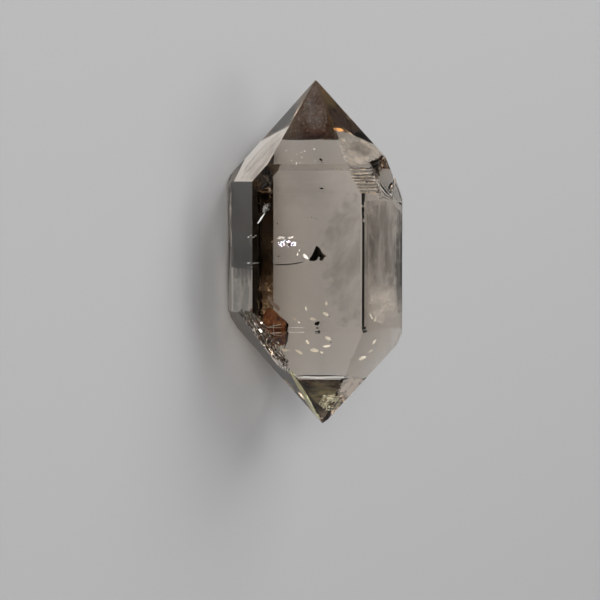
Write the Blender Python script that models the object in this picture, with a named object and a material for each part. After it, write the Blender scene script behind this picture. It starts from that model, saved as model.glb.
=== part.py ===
"""A double terminated quartz crystal, lying on one of its six long prism faces.

The long axis runs along X, the sharper point is at -X and the other point at +X.
The flat face that it rests on is at Z = 0, under the middle of the crystal.
Metres, +Z up. The sizes below are in millimetres.
"""
import math

import bmesh
import bpy
from mathutils import Matrix, Vector, noise

MM = 0.001

# Angles that every quartz crystal has
PRISM_STEP = math.radians(60.0)
POINT_TILT = math.radians(51.79)  # from the long axis to the square of a point's face

# The long axis: where it stands in the part, and how far each prism face is from it, going round
# from the top face over the front to the bottom one
AXIS_AT = Vector((-0.31, 0.08, 7.60))
PRISM_FACES = {
    "top": 8.04,
    "front_upper": 6.65,
    "front_lower": 8.04,
    "bottom": 7.60,
    "back_lower": 7.10,
    "back_upper": 7.32,
}

# The two points, from the axis, and how far each of their faces stands out from the point
LEFT_POINT = Vector((-16.95, 0.0, 0.0))
LEFT_STANDOFF = {"top": 0.04, "front_lower": 0.06, "bottom": 0.04, "back_upper": -0.14}
RIGHT_POINT = Vector((17.45, 1.058, -0.184))
RIGHT_STANDOFF = {
    "top": 0.36,
    "front_lower": -0.06,
    "bottom": 0.02,
    "back_lower": 0.60,
    "back_upper": 0.13,
}

# Narrow faces along two long edges: the turn from the top face towards the front, and the distance
EDGE_FACES = {
    "bottom_front_edge": (150.0, 8.756),
    "top_back_edge_1": (-4.0, 8.20),
    "top_back_edge_2": (-12.0, 8.486),
    "top_back_edge_3": (-32.0, 8.60),
}

# Growth steps where the top face turns into the left point. Each is a steep riser and a tread that
# leans back up, and is given by its length along the axis. Two flights lie side by side.
STEPS_START = -5.70
STEPS_FALL = 0.43  # for each millimetre along the axis
RISER_SHARE = 0.30  # of a step's length
RISER_STEEPNESS = math.tan(math.radians(72.0))
FLIGHTS = {
    "near": ((-3.6, -2.05), (0.20, 0.30, 0.33, 0.27, 0.45, 0.25, 0.27, 0.33, 0.30)),
    "far": ((-2.05, -0.30), (0.48, 0.34, 0.25, 0.35, 0.27, 0.42, 0.24, 0.35)),
}

# The broken corner beside the steps. Its hollows are outlined as they are seen from the front,
# looking down at this angle: how far up from the axis, and how far towards the left point.
# Each has a flat floor, given by its square direction and its distance from the axis point.
LOOK_DOWN = math.radians(37.6)
HOLLOWS = {
    "window": {
        "outline": (
            (6.05, 7.20), (6.05, 8.90), (6.75, 9.70), (8.50, 12.0), (11.0, 12.0),
            (11.0, 8.20), (7.65, 7.10), (7.25, 6.20), (7.05, 5.60), (6.25, 6.90),
        ),
        "floor": Vector((-0.034, 0.252, 0.967)),
        "distance": 7.011,
    },
    "dark_slope": {
        "outline": ((5.15, 8.70), (6.10, 9.05), (6.15, 7.05), (5.95, 7.25)),
        "floor": Vector((-0.46, 0.30, 0.84)),
        "distance": 9.36,
    },
    "shoulder": {
        "outline": (
            (7.60, 7.30), (7.20, 6.20), (7.35, 5.30), (7.90, 4.90), (8.50, 4.55),
            (11.0, 4.40), (11.0, 8.60),
        ),
        "floor": Vector((-0.512, 0.203, 0.834)),
        "distance": 9.781,
    },
    "flake": {
        "outline": ((5.90, 6.50), (6.20, 6.85), (7.30, 5.25), (7.40, 5.00), (6.05, 4.95)),
        "floor": Vector((-0.05, 0.014, 0.999)),
        "distance": 8.185,
    },
}

# The rough strip along the front edge of the right point's lower face, with its ridges
ROUGH_LENGTH = 9.0
ROUGH_WIDTH = 5.8
ROUGH_TAPER = 0.5  # of its width, lost towards the tip
ROUGH_BEFORE = 2.4  # how far it starts before the corner of the face
ROUGH_DEPTH = 0.40
ROUGH_FADE = 0.7
RIDGE_SPACING = 0.46
RIDGE_LEAN = 0.10  # how far the ridges drift across for each millimetre along
CELL_ALONG = 0.32
CELL_ACROSS = 0.115
ROUGH_ABOVE = 0.8
ROUGH_SKIN = 0.02

# Nicks along the upper front edge: place along the axis, radius, and how deep each bites
NICKS = ((-4.7, 0.50, 0.10), (-3.7, 0.42, 0.08), (-3.0, 0.60, 0.09), (7.7, 0.55, 0.16))

# Pale smoky quartz
SMOKY = (0.74, 0.66, 0.57, 1.0)
POLISH = 0.02
REFRACTION = 1.547

# Sizes of the blocks that the crystal is cut from and with
BLANK_SIZE = 60.0
HOLLOW_REACH = 28.0
OVERRUN = 0.4
WELD = 1e-7
FLAT = math.radians(0.5)


def from_axis(x, y, z):
    """A point given in millimetres from the long axis, in the part's metres."""
    return (Vector((x, y, z)) + AXIS_AT) * MM


def around(turn):
    """The direction square to the long axis, turned from straight up towards the front."""
    return Vector((0.0, -math.sin(turn), math.cos(turn)))


def point_normal(turn, end):
    """The square of a point's face: end is -1 for the left point and 1 for the right one."""
    return math.sin(POINT_TILT) * around(turn) + math.cos(POINT_TILT) * Vector((end, 0.0, 0.0))


def meeting_point(*faces):
    """Where three planes meet, each given by its normal and its distance."""
    rows = Matrix([normal for normal, distance in faces])
    return rows.inverted() @ Vector([distance for normal, distance in faces])


def clear_scene():
    for thing in list(bpy.data.objects):
        bpy.data.objects.remove(thing, do_unlink=True)


def new_collection(name):
    collection = bpy.data.collections.new(name)
    bpy.context.scene.collection.children.link(collection)
    return collection


def new_object(name, data, collection):
    thing = bpy.data.objects.new(name, data)
    collection.objects.link(thing)
    return thing


def mesh_from(solid, name):
    """Turns the bmesh into a mesh with its faces pointing out."""
    bmesh.ops.recalc_face_normals(solid, faces=solid.faces[:])
    mesh = bpy.data.meshes.new(name)
    solid.to_mesh(mesh)
    solid.free()
    return mesh


def slice_off(solid, normal, distance):
    """Cuts away what lies past a plane, given by its distance in millimetres from the axis point."""
    point = from_axis(*(normal.normalized() * distance))
    geometry = solid.verts[:] + solid.edges[:] + solid.faces[:]
    cut = bmesh.ops.bisect_plane(
        solid, geom=geometry, plane_co=point, plane_no=normal, clear_outer=True
    )
    rim = [piece for piece in cut["geom_cut"] if isinstance(piece, bmesh.types.BMEdge)]
    if rim:
        bmesh.ops.contextual_create(solid, geom=rim)


def crystal_body():
    """The convex crystal: a block cut by the prism faces, both points' faces and the narrow ones."""
    solid = bmesh.new()
    bmesh.ops.create_cube(solid, size=BLANK_SIZE * MM, matrix=Matrix.Translation(AXIS_AT * MM))
    for number, (name, distance) in enumerate(PRISM_FACES.items()):
        turn = number * PRISM_STEP
        slice_off(solid, around(turn), distance)
        left = point_normal(turn, -1.0)
        slice_off(solid, left, left.dot(LEFT_POINT) + LEFT_STANDOFF.get(name, 0.0))
        right = point_normal(turn, 1.0)
        slice_off(solid, right, right.dot(RIGHT_POINT) + RIGHT_STANDOFF.get(name, 0.0))
    for turn, distance in EDGE_FACES.values():
        slice_off(solid, around(math.radians(turn)), distance)
    return mesh_from(solid, "quartz_crystal")


def outline_block(name, corners, thickness, right, up, middle):
    """A block with a flat outline. Its plane is given by its right and up, and its middle is there."""
    outline = bpy.data.curves.new(name, "CURVE")
    outline.dimensions = "2D"
    outline.fill_mode = "BOTH"
    outline.extrude = thickness / 2.0
    spline = outline.splines.new("POLY")
    spline.points.add(len(corners) - 1)
    for point, (x, y) in zip(spline.points, corners):
        point.co = (x, y, 0.0, 1.0)
    spline.use_cyclic_u = True
    drawn = new_object(name, outline, bpy.context.scene.collection)
    flat = bpy.data.meshes.new_from_object(drawn.evaluated_get(bpy.context.evaluated_depsgraph_get()))
    bpy.data.objects.remove(drawn)
    block = bmesh.new()
    block.from_mesh(flat)
    turn = Matrix((right, up, right.cross(up))).transposed().to_4x4()
    place = Matrix.Translation(from_axis(*middle)) @ turn @ Matrix.Scale(MM, 4)
    bmesh.ops.transform(block, matrix=place, verts=block.verts)
    bmesh.ops.remove_doubles(block, verts=block.verts, dist=WELD)
    bmesh.ops.dissolve_limit(block, angle_limit=FLAT, verts=block.verts, edges=block.edges)
    for face in block.faces:
        face.smooth = False
    return block


def steps_cutter(name, sides, lengths):
    """What is missing above one flight of growth steps, as a stair outline drawn out sideways."""
    x = STEPS_START
    z = PRISM_FACES["top"]
    outline = [(x + OVERRUN, z + OVERRUN), (x, z)]
    for length in lengths:
        riser = length * RISER_SHARE
        foot = z - riser * RISER_STEEPNESS
        outline.append((x - riser, foot))
        x -= length
        z -= length * STEPS_FALL
        outline.append((x, z))
    outline.append((x - OVERRUN, z))
    outline.append((x - OVERRUN, PRISM_FACES["top"] + OVERRUN))
    near, far = sides
    along = Vector((1.0, 0.0, 0.0))
    upright = Vector((0.0, 0.0, 1.0))
    middle = Vector((0.0, (near + far) / 2.0, 0.0))
    return mesh_from(outline_block(name, outline, far - near, along, upright, middle), name)


def hollow_cutter(name, hollow):
    """A block over the hollow's outline, drawn out along the look, with the floor as its underside."""
    across = Vector((0.0, math.sin(LOOK_DOWN), math.cos(LOOK_DOWN)))
    along = Vector((-1.0, 0.0, 0.0))
    block = outline_block(name, hollow["outline"], HOLLOW_REACH, across, along, Vector())
    slice_off(block, -hollow["floor"], -hollow["distance"] / hollow["floor"].length)
    return mesh_from(block, name)


def rough_relief(along, below):
    """How deep the rough strip is cut at a place along and below its edge, in millimetres."""
    ends = min(1.0, along / 0.6, (ROUGH_LENGTH - along) / 2.5)
    taper = 1.0 - ROUGH_TAPER * max(0.0, along) / ROUGH_LENGTH
    sides = min(1.0, (ROUGH_WIDTH * taper - below) / ROUGH_FADE)
    wander = noise.noise(Vector((along * 0.45, below * 0.5, 3.1)))
    ridge = ((below + wander + RIDGE_LEAN * along) / RIDGE_SPACING) % 1.0
    broken = noise.noise(Vector((along * 1.1, below * 2.1, 8.4)))
    return ROUGH_DEPTH * min(ends, sides) * (0.25 + 0.55 * ridge + 0.45 * broken) - ROUGH_SKIN


def rough_cutter(name):
    """A slab whose underside carries the ridges of the rough strip."""
    upper = point_normal(PRISM_STEP, 1.0)
    lower = point_normal(2.0 * PRISM_STEP, 1.0)
    edge = upper.cross(lower).normalized()
    down = edge.cross(lower).normalized()
    corner = meeting_point(
        (around(PRISM_STEP), PRISM_FACES["front_upper"]),
        (upper, upper.dot(RIGHT_POINT)),
        (lower, lower.dot(RIGHT_POINT) + RIGHT_STANDOFF["front_lower"]),
    )
    start = corner - edge * ROUGH_BEFORE
    columns = round(ROUGH_LENGTH / CELL_ALONG)
    rows = round((ROUGH_WIDTH + OVERRUN) / CELL_ACROSS)
    slab = bmesh.new()
    bmesh.ops.create_grid(slab, x_segments=columns, y_segments=rows, size=0.5)
    for vert in slab.verts:
        along = (vert.co.x + 0.5) * ROUGH_LENGTH
        below = (vert.co.y + 0.5) * (ROUGH_WIDTH + OVERRUN) - OVERRUN
        place = start + edge * along + down * below - lower * rough_relief(along, below)
        vert.co = from_axis(*place)
    grown = bmesh.ops.extrude_face_region(slab, geom=slab.faces[:])
    moved = [piece for piece in grown["geom"] if isinstance(piece, bmesh.types.BMVert)]
    bmesh.ops.translate(slab, verts=moved, vec=lower * ROUGH_ABOVE * MM)
    return mesh_from(slab, name)


def nick_cutter(name, x, radius, bite):
    """A ball that bites a small hollow out of the upper front edge."""
    edge = meeting_point(
        (around(0.0), PRISM_FACES["top"]),
        (around(PRISM_STEP), PRISM_FACES["front_upper"]),
        (Vector((1.0, 0.0, 0.0)), x),
    )
    centre = edge + around(PRISM_STEP / 2.0) * (radius - bite)
    ball = bmesh.new()
    place = Matrix.Translation(from_axis(*centre))
    bmesh.ops.create_icosphere(ball, subdivisions=2, radius=radius * MM, matrix=place)
    return mesh_from(ball, name)


def smoky_quartz():
    """Clear, faintly brown and smooth."""
    material = bpy.data.materials.new("smoky_quartz")
    material.use_nodes = True
    shader = material.node_tree.nodes["Principled BSDF"]
    shader.inputs["Base Color"].default_value = SMOKY
    shader.inputs["Roughness"].default_value = POLISH
    shader.inputs["Metallic"].default_value = 0.0
    shader.inputs["IOR"].default_value = REFRACTION
    shader.inputs["Transmission Weight"].default_value = 1.0
    return material


def all_cutters():
    """The meshes that the crystal is cut with, by name."""
    cutters = {"steps_" + side: steps_cutter("steps_" + side, *flight) for side, flight in FLIGHTS.items()}
    for name, hollow in HOLLOWS.items():
        cutters["hollow_" + name] = hollow_cutter("hollow_" + name, hollow)
    cutters["rough_strip"] = rough_cutter("rough_strip")
    for number, nick in enumerate(NICKS, start=1):
        cutters["nick_%d" % number] = nick_cutter("nick_%d" % number, *nick)
    return cutters


def cut_with(crystal, name, mesh, collection):
    """Takes the cutter's shape out of the crystal."""
    cutter = new_object(name, mesh, collection)
    cutter.hide_render = True
    cutter.display_type = "WIRE"
    cut = crystal.modifiers.new(name, "BOOLEAN")
    cut.operation = "DIFFERENCE"
    cut.solver = "EXACT"
    cut.object = cutter


def main():
    clear_scene()
    crystal = new_object("quartz_crystal", crystal_body(), new_collection("double_terminated_quartz"))
    crystal.data.materials.append(smoky_quartz())
    cutter_collection = new_collection("cutters")
    for name, mesh in all_cutters().items():
        cut_with(crystal, name, mesh, cutter_collection)


main()
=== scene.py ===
"""The looks of a double terminated smoky quartz crystal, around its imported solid.

Metres, +Z up. Sizes and depths are in millimetres, those of the room and its lights in metres. Places in the
photograph are in its pixels, and are turned into places in the crystal by following the line of sight through
its surface. Depths are measured along the line of sight from where it enters.
"""

import math
import random

import bmesh
import bpy
from mathutils import Matrix, Vector
from mathutils.bvhtree import BVHTree


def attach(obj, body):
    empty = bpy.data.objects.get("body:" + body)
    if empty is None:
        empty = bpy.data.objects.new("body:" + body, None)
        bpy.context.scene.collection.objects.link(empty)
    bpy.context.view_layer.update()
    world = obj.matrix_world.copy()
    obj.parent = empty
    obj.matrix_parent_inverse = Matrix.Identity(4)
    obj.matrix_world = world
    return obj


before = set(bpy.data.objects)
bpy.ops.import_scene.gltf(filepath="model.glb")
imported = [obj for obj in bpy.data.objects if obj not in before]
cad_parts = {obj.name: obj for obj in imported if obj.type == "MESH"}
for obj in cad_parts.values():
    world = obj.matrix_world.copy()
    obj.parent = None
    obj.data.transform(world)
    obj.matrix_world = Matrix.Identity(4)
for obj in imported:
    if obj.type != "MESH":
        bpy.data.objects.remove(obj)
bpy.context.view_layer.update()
MM = 0.001

# How the photograph looks at the crystal. Its upright is the crystal's long axis, the left point up.
LONG_AXIS = Vector((-0.31, 0.08, 7.60))
LOOK_DOWN = math.radians(37.6)
PHOTO_RIGHT = Vector((0.0, math.sin(LOOK_DOWN), math.cos(LOOK_DOWN)))
PHOTO_UP = Vector((-1.0, 0.0, 0.0))
TO_VIEWER = Vector((0.0, -math.cos(LOOK_DOWN), math.sin(LOOK_DOWN)))
PHOTO_SIZE = 600.0
AIM_PIXEL = (300.0, 300.0)
MM_PER_PIXEL = 0.1
VIEW_DISTANCE = 200.0
EYE_SHIFT = (-1.65, 6.93)  # by the photograph's right and up, like the next
AIM_SHIFT = (-1.65, -5.0)
MOVE_IN = 0.004  # how a pixel just outside the crystal is moved in, as a share of its way to the middle

# Smoky quartz
REFRACTION = 1.547
TINT_DENSITY = 35.0
TINT = (0.525, 0.300, 0.025)

# Its uneven faces: how high at most, how fine the waves, lines and hillocks are, and how they compare
UNEVENNESS = 0.004
WAVE_SCALE = 0.45
LINE_SCALE = 1.0
LINE_SQUEEZE = (3.0, 0.25, 0.25)
HILLOCK_SCALE = 2.2
LINE_HEIGHT = 0.3
HILLOCK_HEIGHT = 3.0
HILLOCKS_START = -8.6  # along X, towards the left point
HILLOCKS_FULL = -11.5

# Thin films and how they are turned to a light
FILM_THICKNESS = 0.02
NEAREST = 0.03  # the least depth of a film that is turned
PALE_STEP = 2.0  # the length of the short films that a pale line is made of, in pixels
GRAZING = 0.9  # past this, too little light gets through a face
GOOD_MATCH = 0.995
LEAST_OPEN = 0.5  # how far a mirror's front has to be open to the viewer
WAYS_TRIED = 500
TURNS_TRIED = 20
FINER_STEPS = (0.06, 0.03, 0.015)

# How uneven blobs, lines and lumps are; a lump's rings, from near to far, as shares of its depth and size
BLOB_CORNERS = 9
BLOB_REACH = (0.75, 1.15)
STROKE_END = 0.35
LUMP_RINGS = ((0.0, 0.45), (0.15, 0.86), (0.45, 1.0), (0.8, 0.8), (1.0, 0.4))
LUMP_WANDER = 0.06

# Lights: azimuth and elevation in degrees, distance and size in metres, power in watts
LIGHTS = {
    "key": (-68.0, 44.0, 0.5, (0.35, 0.35), 1.4),
    "fill": (-160.0, 50.0, 0.5, (0.24, 0.24), 0.85),
    "back": (20.0, 62.0, 0.5, (0.2, 0.2), 0.25),
    "left_card": (-73.0, 19.0, 0.45, (0.16, 0.08), 0.09),
    "low_card": (0.0, 6.0, 0.45, (0.30, 0.05), 0.012),
    "low_card_bright": (35.0, 6.0, 0.5, (0.16, 0.12), 0.025),
}
LIGHT_TARGET = Vector((0.0, 0.0, 0.007))
LOW_CARD_X = 0.171

# The room: how bright it is low down and overhead, where that changes, and as the camera sees it straight
STUDIO_LOW = 0.04
STUDIO_HIGH = 0.19
STUDIO_HEIGHTS = (0.16, 0.5)
BACKDROP = 0.45

# A dark spot low on the camera's side: its middle and soft edge in degrees, and the share of light it keeps
DARK_SPOT = (172.0, 12.0)
DARK_SPOT_EDGE = (15.0, 12.0)
DARK_SPOT_SHARE = 0.03

# The floor, the camera's sensor, here in millimetres, and nearest distance, and how often light bounces
FLOOR_SIZE = 3.0
FLOOR_DROP = 0.00003
FLOOR_COLOUR = (0.55, 0.55, 0.555)
SENSOR_WIDTH = 36.0
NEAR_CLIP = 0.001
BOUNCES = 24

# Colours that run through stops as a cloudy pattern rises
RUST = [(0.36, (0.05, 0.016, 0.006)), (0.5, (0.29, 0.08, 0.02)), (0.62, (0.48, 0.19, 0.06))]
# The next browns colour a sheet of painted shade just inside the resting face
SHADE_BROWNS = [(0.40, (0.012, 0.009, 0.006)), (0.52, (0.07, 0.05, 0.03)), (0.66, (0.3, 0.25, 0.18))]
RAINBOW = [(0.36, (1.0, 0.8, 0.75)), (0.44, (0.7, 0.65, 1.0)), (0.5, (1.0, 1.0, 1.0)),
           (0.56, (0.65, 0.78, 1.0)), (0.64, (0.9, 0.78, 1.0))]

# The dark grain: outlines in the photograph
GRAIN_DEPTH = 6.0
BROWN_GRAIN_DEPTH = 6.1
GRAIN_THICKNESS = 0.9
GRAIN_BLACK = [(316.2, 245.6), (318.8, 247.2), (320.9, 249.6), (321.6, 253.4), (322.8, 257.2), (320.2, 257.8),
               (318.6, 256.6), (317.6, 258.8), (316.4, 260.4), (313.6, 261.3), (309.4, 260.8), (309.6, 258.1),
               (311.8, 255.4), (313.9, 251)]
GRAIN_BROWN = [(320.8, 250.6), (322.9, 253.4), (326.6, 256), (324.4, 257.6), (323, 260.4), (319.8, 260.8),
               (319.4, 258.2), (321.6, 257.4)]

# The healed crack: a nearly flat disc across the crystal, seen from just above
CRACK_DEPTH = 3.4
CRACK_TILT = math.radians(22.0)
CRACK_LEAN = 0.02
CRACK_RIM_DEPTH = CRACK_DEPTH - 1.2
CRACK_RIM_WIDTH = 1.3
RAINBOW_DEPTH = 2.3
GLINT_DEPTH = 1.0
CRACK_VEIL = [(272.5, 264), (272.5, 241), (278, 238.6), (286, 237.4), (296, 239.5), (305, 244.5),
              (312, 251.5), (310.5, 258), (304, 262.3), (292, 264), (281, 264.6)]
CRACK_RIM = [(272.4, 264.1), (278, 264.7), (285, 264.6), (292, 264), (298, 263), (303.5, 261.9)]
CRACK_WHITE = [
    [(276.6, 238.8), (278.5, 236.7), (281.5, 236.2), (284.6, 236.9), (284.9, 238.4), (281, 239.2)],
    [(287, 238), (289.6, 236.9), (293.4, 236.2), (293.4, 237.4), (289.8, 238.9)],
    [(302.6, 254.6), (304.4, 253.3), (306.3, 255.4), (308.5, 258.4), (306.8, 259.2), (304, 257.2)],
    [(296.6, 254.2), (297.6, 252.6), (298.2, 254.6), (297.2, 256.2)],
    [(299, 250), (299.8, 249.2), (299.9, 251.8), (299.2, 252.2)],
]
CRACK_TINTED = [
    [(287.8, 245.6), (289, 243.2), (291, 242.4), (292, 241.2), (294, 242), (295.8, 244.6),
     (294.8, 246.2), (292.2, 245.4), (290.4, 246.8)],
]
CRACK_PINK = [
    [(271.2, 242.6), (271.8, 240.8), (273, 240.4), (272.6, 242.2)],
    [(273.6, 240.6), (275, 239.2), (276.2, 239.4), (275, 240.6)],
]
CRACK_SPARKS = [(277.6, 241.6), (281, 239.8), (287, 240.2), (296, 242), (296.4, 246.2),
                (289, 247.6), (280, 246.6)]
EDGE_GLINTS = [
    [(243.4, 263.4), (246.4, 262.4), (250, 262.1), (251.2, 262.8), (248, 264)],
    [(247.4, 237.5), (248.4, 236.4), (249.5, 236.4), (248.8, 237.6)],
    [(250.2, 235.8), (250.8, 234.8), (251.4, 235.2), (251, 236.2)],
]

# The rusty stain beside the rough strip
STAIN_DEPTH = 3.2
STAIN_THICKNESS = 0.5
STAIN_SHADE_DEPTH = STAIN_DEPTH - 0.1
STAIN_FLAKE_DEPTH = STAIN_DEPTH - 0.3
STAIN = [(274.4, 310.5), (277, 312.8), (280.1, 316.2), (285.3, 320.3), (288.1, 323.7), (288.7, 332.9),
         (287.6, 340.9), (284.7, 348.4), (282, 345), (276, 345), (271, 342.6), (272.6, 335.2),
         (267.5, 329.4), (264, 323.7), (262.8, 317), (266, 310), (270, 307.5)]
STAIN_SHADE = [(285.2, 320.2), (288.1, 323.7), (288.7, 332.9), (287.6, 340.9), (284.7, 348.4), (286.2, 338),
               (286.9, 330), (286.4, 324.6)]
STAIN_BAND = [(267.2, 295.4), (269.6, 296.6), (273.6, 302.4), (278.6, 305.6), (280.2, 310.4), (277.6, 310.4),
              (274, 307), (270.6, 303.8), (268.2, 299.6)]
STAIN_STREAKS = [
    ([(264.2, 327.9), (268, 327.3), (276, 327.6), (286.4, 327.4)], 0.5),
    ([(266.6, 332.4), (271, 332), (279.6, 332.8), (286, 332.6)], 0.7),
    ([(274.4, 315.8), (273.9, 324), (273.6, 330), (274.2, 340.6)], 0.5),
]
STAIN_FLAKES = [
    [(272.4, 346.4), (275, 344.6), (277.6, 345.2), (276, 347.6), (273.4, 348.6)],
    [(277.8, 349.8), (279.2, 346.8), (281.6, 345.8), (281, 348.8), (279.4, 350.6)],
    [(282, 346.4), (284.4, 344.2), (285, 345.8), (283.2, 348.2)],
]

# A splinter of air in the dark strip: lines and their widths
FEATHER_DEPTH = 1.2
FEATHER = [
    ([(257.6, 223.6), (261, 218.6), (264.6, 213.4)], 1.7),
    ([(264.4, 212.6), (265, 208), (265.4, 204.6)], 0.5),
    ([(265.6, 211.4), (266.6, 208), (267.6, 204.6)], 0.4),
    ([(262.8, 213), (263.2, 210), (264.2, 206)], 0.4),
]
FEATHER_TIP = [(262.4, 213), (262.4, 207), (265, 203), (269.6, 202.6), (270, 208), (266, 213.4)]

# Painted shade: dark sheets just inside the resting face, from left to right and from front to back
SHADE_SHEET_BLACK = (-6.6, 2.0)
SHADE_SHEET_BROWN = (2.0, 6.0)
SHADE_SHEET_WIDTH = (-2.8, -1.5)
SHADE_SHEET_STEPS = 18
SHADE_SHEET_WANDER = 0.12
SHADE_SHEET_HEIGHT = 0.05
SHADE_SHEET_THICKNESS = 0.03
# A black line of painted shade along the front face's upper edge: depth and outlines
EDGE_SHADE_LINE_DEPTH = 0.05
EDGE_SHADE_LINE = [
    [(361.5, 193.5), (364.3, 192.6), (364.3, 205.4), (361.6, 204.6)],
    [(361.6, 207.4), (364.3, 207.8), (364.3, 217.4), (362, 218.2)],
    [(362.2, 221.4), (364.3, 222), (364.3, 326), (361.8, 326)],
]

# The broken corner
CORNER_CRACK_AND_SHADE_DEPTH = 0.15
CORNER_LIGHT_DEPTH = 0.2
# Dark lines along the broken corner's edges: cracks, and painted shade where the edges look dark; one covers
# a glint
CORNER_CRACKS_AND_SHADE = [
    ([(378.6, 181.2), (381.4, 185.8), (386, 191.7), (391, 196.8)], 1.6),
    ([(395.4, 178), (393.4, 181.4), (391, 184.4), (388.4, 188.4)], 2.2),
    ([(389.6, 188), (391.8, 185.2), (393.8, 182.6)], 1.8),
    ([(378, 193.4), (382.6, 191.6), (385.6, 195.4), (391, 198.2), (394.4, 192.6)], 0.8),
    ([(379, 198.6), (384, 197.6), (389, 199.6)], 0.7),
    ([(368.4, 162.9), (374, 162.3), (379.4, 159.8), (384, 155.4)], 1.5),
    ([(370.8, 167.6), (378, 165.4), (383.6, 160)], 1.0),
    ([(369.4, 165), (376, 163.8), (381, 162)], 0.6),
    ([(385.6, 158.4), (386.8, 162), (389.8, 170)], 0.8),
    ([(394.6, 183), (397.8, 188.6), (400.6, 197), (402.4, 205)], 0.9),
    ([(399, 202.4), (400.4, 203.6), (402, 204.4)], 1.8),
]
# Painted highlights along the broken corner's edges
CORNER_LIGHTS = [
    ([(377.4, 182.6), (380.4, 187), (385, 192.8)], 0.6),
    ([(377.6, 195.4), (378.4, 197.6), (378.8, 199.4)], 0.7),
    ([(387.6, 194.6), (390, 193.6), (392.2, 195.4)], 0.6),
]
CORNER_SHADE = [(370.6, 166.8), (375.6, 166), (378.2, 172), (377.6, 180), (373.6, 174)]
# Where dark specks and pale sparks lie over the broken corner
CORNER_SPECKLE_PATCH = [(389.6, 186.4), (395, 182), (399.6, 194), (401.4, 205), (394, 201), (386, 199.4),
               (379, 199), (380, 192), (386, 194)]

# Marks in the points
POINT_LINE_DEPTH = 0.1
POINT_WEDGE_DEPTH = 0.05
PALE_LINE_DEPTH = 0.15
GLOW_DEPTH = 0.5
# A wedge of painted shade on the right side of the left point
POINT_WEDGE = [(352.6, 134.8), (358, 131.4), (363.4, 133), (373.8, 143.4), (363.6, 138.9)]
POINT_LINES = [
    ([(281.6, 139.2), (292, 139.6), (305, 139.4), (318, 139.6)], 0.9),
    ([(330.6, 123), (332.6, 130), (335.2, 139)], 0.8),
    ([(297, 375.9), (305, 375.4), (330, 375.6), (348.6, 375.2)], 0.9),
    ([(301, 381), (305, 382.6), (310, 384.6)], 1.6),
    ([(340.6, 379.6), (345, 379), (348, 378.4)], 2.0),
]
PALE_LINES = [
    ([(298, 377.6), (306, 377), (318, 378), (332, 377.2), (344, 377)], 1.3),
    ([(289.6, 327.6), (296, 327.5), (304, 327.8)], 0.3),
    ([(289, 332.4), (296, 332.6), (304, 332.4)], 0.3),
]
WARM_GLINTS = [
    [(333.3, 128.8), (337, 127.5), (341, 128.4), (344, 130.6), (339, 131.8), (335, 130.4)],
]
POINT_SPECKLES = [(316.4, 86.0), (326, 112), (331, 131), (294, 131), (302, 110)]
GOLD_MIDDLE = (331, 401)
GOLD_SPREAD = (26.0, 19.0)
# A painted highlight along an edge of the right point: places and widths in pixels
YELLOW_EDGE = [(289.6, 370.6, 0.5), (293, 376, 1.2), (296.6, 382, 1.8), (300.6, 388.6, 2.3),
               (304.6, 395.4, 2.5), (308.2, 401.6, 2.3), (311.8, 407.6, 1.9), (315.2, 413.2, 1.4),
               (318.8, 419, 0.6)]
YELLOW_DEPTH = 0.2
YELLOW_PARTS = 4
YELLOW_LANES = 3

# The steps, as the photograph shows them: height, left end and right end
STEP_PARTS = 5
STEP_WANDER = 0.25
# Painted shade under the treads and painted highlights over them
STEP_SHADE_DEPTH = 0.06
STEP_SHADE_WIDTH = 0.85
STEP_SHADE_SHARES = (0.7, 1.1)
STEP_LIGHT_DEPTH = 0.12
STEP_LIGHT_WIDTH = 1.0
STEP_LIGHT_SHIFT = 1.5
STEP_LINES = [(168.2, 350, 366), (171.9, 350, 368.6), (175, 351, 371), (178, 352, 373.6),
              (181.2, 354, 374.6), (184.4, 356, 376.2), (187.6, 357.4, 376.6), (190.8, 359.6, 376)]

# How a veil wanders, fades out and is patchy
WANDER_SCALE = 1.1
WANDER = 1.6
FADE = (1.0, 0.1)
PATCHY = (0.25, 0.7)
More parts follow.
